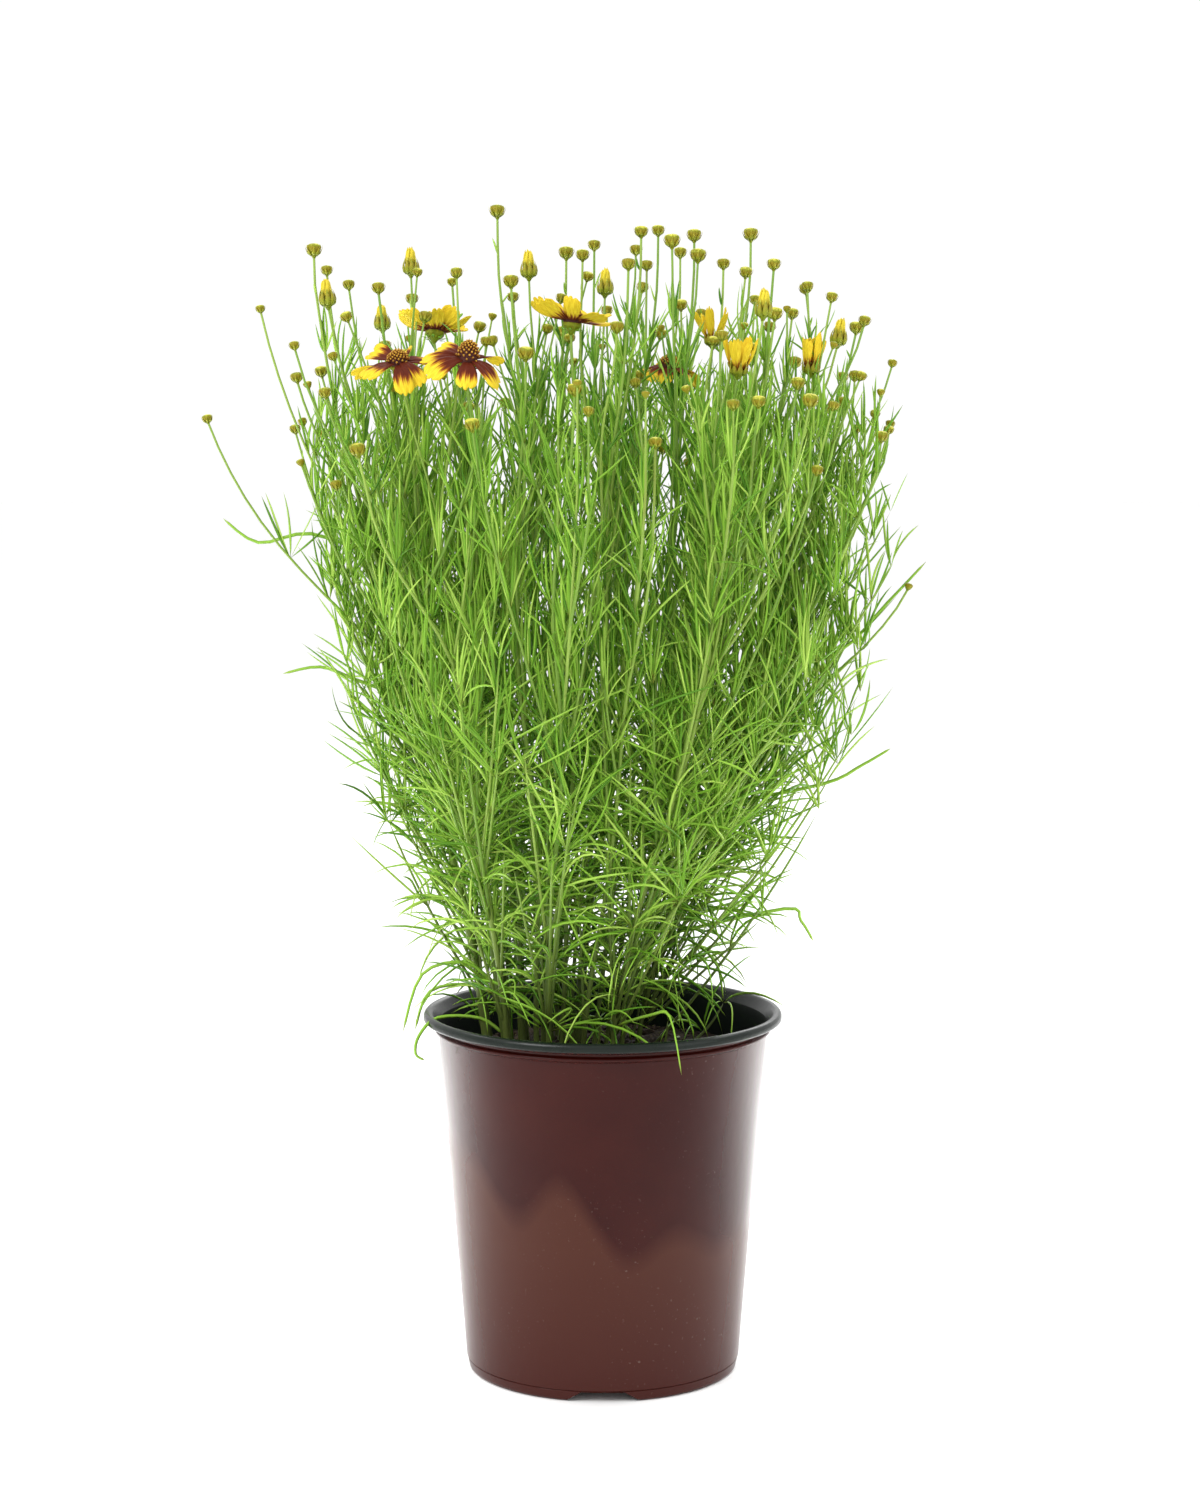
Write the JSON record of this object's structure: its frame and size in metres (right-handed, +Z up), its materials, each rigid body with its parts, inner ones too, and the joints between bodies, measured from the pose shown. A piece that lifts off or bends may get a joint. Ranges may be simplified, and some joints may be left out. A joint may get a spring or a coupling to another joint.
{
  "type": "potted coreopsis plant",
  "caption": "Threadleaf coreopsis in a round nursery pot: an upright vase-shaped clump of leafy stems with buds and two-coloured daisy blooms over a tapered pot of soil.",
  "frame": {"origin": "centre of the pot's underside, on the surface that it stands on", "axes": "+Z up along the pot's axis; -Y towards the side with the drain notch and most open blooms; +X to the right of that side"},
  "size_m": [0.3265, 0.2298, 0.5343],
  "materials": {
    "pot": "glossy burgundy injection-moulded plastic outside, black inside and on the rim",
    "soil": "loose peat and bark potting mix, matt",
    "foliage": "living leaves, stalks and green buds, satin",
    "petals": "yellow petals with maroon bases, soft satin",
    "flower_disc": "rust brown disc florets, matt"
  },
  "bodies": {
    "root": {"bloom_1_disc": "flower_disc", "bloom_1_rays": "petals", "bloom_2_disc": "flower_disc", "bloom_2_rays": "petals", "bloom_3_disc": "flower_disc", "bloom_3_rays": "petals", "bloom_4_disc": "flower_disc", "bloom_4_rays": "petals", "bloom_5_disc": "flower_disc", "bloom_5_rays": "petals", "half_open_bloom_1_rays": "petals", "half_open_bloom_2_rays": "petals", "half_open_bloom_3_rays": "petals", "leafy_stem_01": "foliage", "leafy_stem_02": "foliage", "leafy_stem_03": "foliage", "leafy_stem_04": "foliage", "leafy_stem_05": "foliage", "leafy_stem_06": "foliage", "leafy_stem_07": "foliage", "leafy_stem_08": "foliage", "leafy_stem_09": "foliage", "leafy_stem_10": "foliage", "leafy_stem_11": "foliage", "leafy_stem_12": "foliage", "leafy_stem_13": "foliage", "leafy_stem_14": "foliage", "leafy_stem_15": "foliage", "leafy_stem_16": "foliage", "leafy_stem_17": "foliage", "leafy_stem_18": "foliage", "leafy_stem_19": "foliage", "leafy_stem_20": "foliage", "leafy_stem_21": "foliage", "leafy_stem_22": "foliage", "opening_bud_1_rays": "petals", "opening_bud_2_rays": "petals", "opening_bud_3_rays": "petals", "opening_bud_4_rays": "petals", "opening_bud_5_rays": "petals", "opening_bud_6_rays": "petals", "opening_bud_7_rays": "petals", "pot": "pot", "soil": "soil"}
  },
  "joints": []
}
